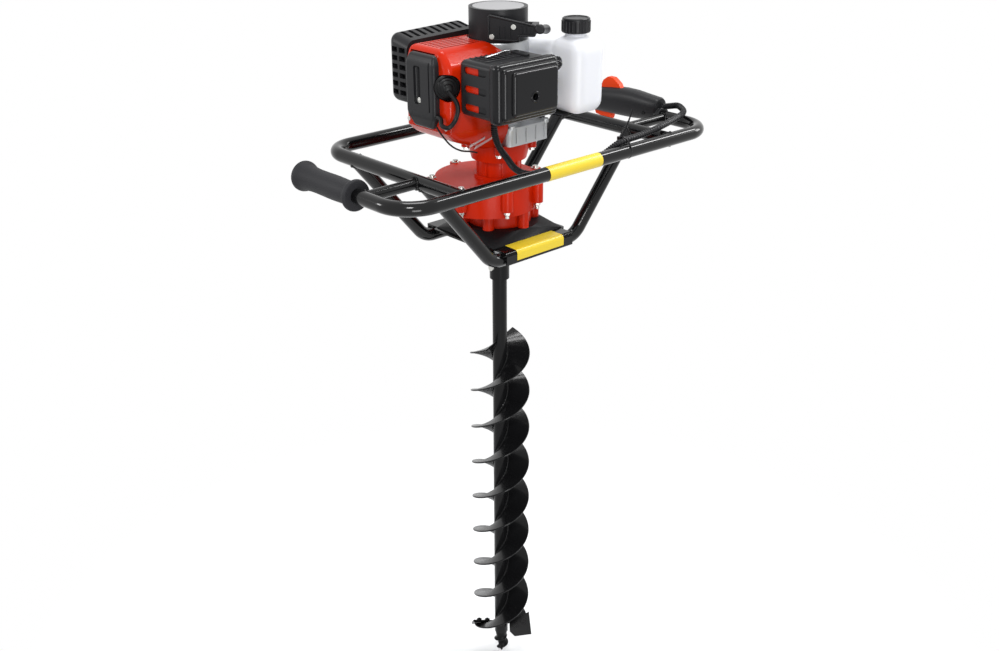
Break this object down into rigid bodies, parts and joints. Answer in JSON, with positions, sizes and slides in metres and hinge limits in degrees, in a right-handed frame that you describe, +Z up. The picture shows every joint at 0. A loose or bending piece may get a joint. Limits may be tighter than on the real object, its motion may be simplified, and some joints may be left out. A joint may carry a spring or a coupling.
{
  "type": "earth auger",
  "caption": "Hand-held petrol earth auger: a two-stroke engine over a reduction gearbox in a tube frame with hand grips, turning a double-flight digging bit.",
  "frame": {"origin": "the point of the bit, on the bit's axis", "axes": "+Z up along the bit's axis, +X to the operator's right along the front bar, +Y away from the operator"},
  "size_m": [0.666, 0.341, 1.189],
  "materials": {
    "frame_paint": "gloss black paint",
    "bit_paint": "gloss black paint, worn where it digs",
    "cutter_steel": "hardened, ground edges",
    "gearbox_orange": "gloss paint over a casting",
    "shroud_orange": "gloss moulded",
    "control_orange": "satin moulded",
    "black_plastic": "satin moulded",
    "grip_rubber": "matt",
    "lead_rubber": "satin",
    "tank_plastic": "translucent natural",
    "reel_nylon": "moulded nylon",
    "rope": "braided cord",
    "filter_foam": "open foam",
    "alloy": "as cast",
    "machine_steel": "machined",
    "zinc": "bright zinc plate"
  },
  "bodies": {
    "frame": {"handlebar": "frame_paint", "side_loop": "frame_paint", "front_leg_tube": "frame_paint", "rear_leg_tube": "frame_paint", "brace_tubes": "frame_paint", "base_plate": "frame_paint", "gearbox_mount": "frame_paint", "left_grip": "grip_rubber", "throttle_shell_inner": "black_plastic", "throttle_shell_outer": "black_plastic", "control_pins": "machine_steel", "gearbox_case": "gearbox_orange", "gearbox_cover": "gearbox_orange", "gearbox_bolts": "zinc", "bearings": "machine_steel", "clutch_housing": "gearbox_orange", "crankcase": "alloy", "crankshaft": "machine_steel", "connecting_rod": "alloy", "piston": "alloy", "cylinder_block": "alloy", "flywheel": "alloy", "clutch_shoes": "machine_steel", "spark_plug": "machine_steel", "plug_boot": "lead_rubber", "ht_lead": "lead_rubber", "cylinder_shroud": "shroud_orange", "lower_shroud": "shroud_orange", "end_guard": "black_plastic", "muffler": "machine_steel", "muffler_guard": "black_plastic", "starter_housing": "black_plastic", "carburettor": "alloy", "filter_case": "black_plastic", "filter_element": "filter_foam", "filter_cover": "black_plastic", "fuel_tank": "tank_plastic", "tank_bracket": "frame_paint", "throttle_cable": "lead_rubber"},
    "bit": {"output_shaft": "machine_steel", "output_gear": "machine_steel", "bit_tube": "bit_paint", "bit_flights": "bit_paint", "bit_blades": "cutter_steel", "bit_point": "cutter_steel", "coupling_bolt": "zinc"},
    "layshaft": {"layshaft": "machine_steel", "layshaft_gear": "machine_steel"},
    "clutch_drum": {"input_shaft": "machine_steel", "clutch_drum": "machine_steel"},
    "starter_reel": {"starter_reel": "reel_nylon"},
    "starter_handle": {"starter_handle": "black_plastic", "starter_rope": "rope"},
    "cap_seal": {"cap_seal": "lead_rubber"},
    "tank_cap": {"tank_cap": "black_plastic"},
    "trigger": {"throttle_trigger": "control_orange"},
    "lockout": {"lockout_lever": "control_orange"},
    "stop_switch": {"stop_switch": "control_orange"},
    "choke": {"choke_lever": "black_plastic"},
    "primer": {"primer_bulb": "lead_rubber"}
  },
  "joints": [
    {"name": "bit_spin", "type": "hinge", "parent": "frame", "child": "bit", "pos_m": [0, 0, 0], "axis": [0, 0, 1], "continuous": true},
    {"name": "layshaft_spin", "type": "hinge", "parent": "frame", "child": "layshaft", "pos_m": [-0.0316, 0.02651, 0.9], "axis": [0, 0, 1], "continuous": true},
    {"name": "drum_spin", "type": "hinge", "parent": "frame", "child": "clutch_drum", "pos_m": [0, 0, 0.93], "axis": [0, 0, 1], "continuous": true},
    {"name": "starter_pull", "type": "slide", "parent": "frame", "child": "starter_handle", "axis": [0.5878, -0.809, 0], "range_m": [0, 0.6], "stiffness_N_per_m": 20, "springref_m": -0.1},
    {"name": "reel_spin", "type": "hinge", "parent": "frame", "child": "starter_reel", "pos_m": [0, 0, 1.1615], "axis": [0, 0, 1], "range_deg": [0, 1230]},
    {"name": "cap_lift", "type": "slide", "parent": "frame", "child": "cap_seal", "axis": [0, 0, 1], "range_m": [0, 0.0061]},
    {"name": "cap_turn", "type": "hinge", "parent": "cap_seal", "child": "tank_cap", "pos_m": [0.094, -0.069, 1.15], "axis": [0, 0, 1], "range_deg": [0, 720]},
    {"name": "choke_turn", "type": "hinge", "parent": "frame", "child": "choke", "pos_m": [-0.04, -0.079, 1.134], "axis": [0, 0, 1], "range_deg": [0, 60]},
    {"name": "trigger_pull", "type": "hinge", "parent": "frame", "child": "trigger", "pos_m": [0.312, 0.11, 0.9735], "axis": [-1, 0, 0], "range_deg": [0, 14], "stiffness_Nm_per_rad": 0.4, "springref_deg": -9.74},
    {"name": "lockout_press", "type": "hinge", "parent": "frame", "child": "lockout", "pos_m": [0.312, 0.098, 0.9925], "axis": [1, 0, 0], "range_deg": [0, 10], "stiffness_Nm_per_rad": 0.4, "springref_deg": -9.74},
    {"name": "stop_slide", "type": "slide", "parent": "frame", "child": "stop_switch", "axis": [0, 1, 0], "range_m": [0, 0.0095]},
    {"name": "primer_press", "type": "slide", "parent": "frame", "child": "primer", "axis": [0, 1, 0], "range_m": [0, 0.004], "stiffness_N_per_m": 400, "springref_m": -0.001}
  ],
  "couplings": [
    {"joint": "layshaft_spin", "follows": "bit_spin", "ratio": -4.5},
    {"joint": "drum_spin", "follows": "bit_spin", "ratio": 20.25},
    {"joint": "reel_spin", "follows": "starter_pull", "rad_per_m": 35.714},
    {"joint": "cap_lift", "follows": "cap_turn", "m_per_rad": 0.00047746}
  ]
}
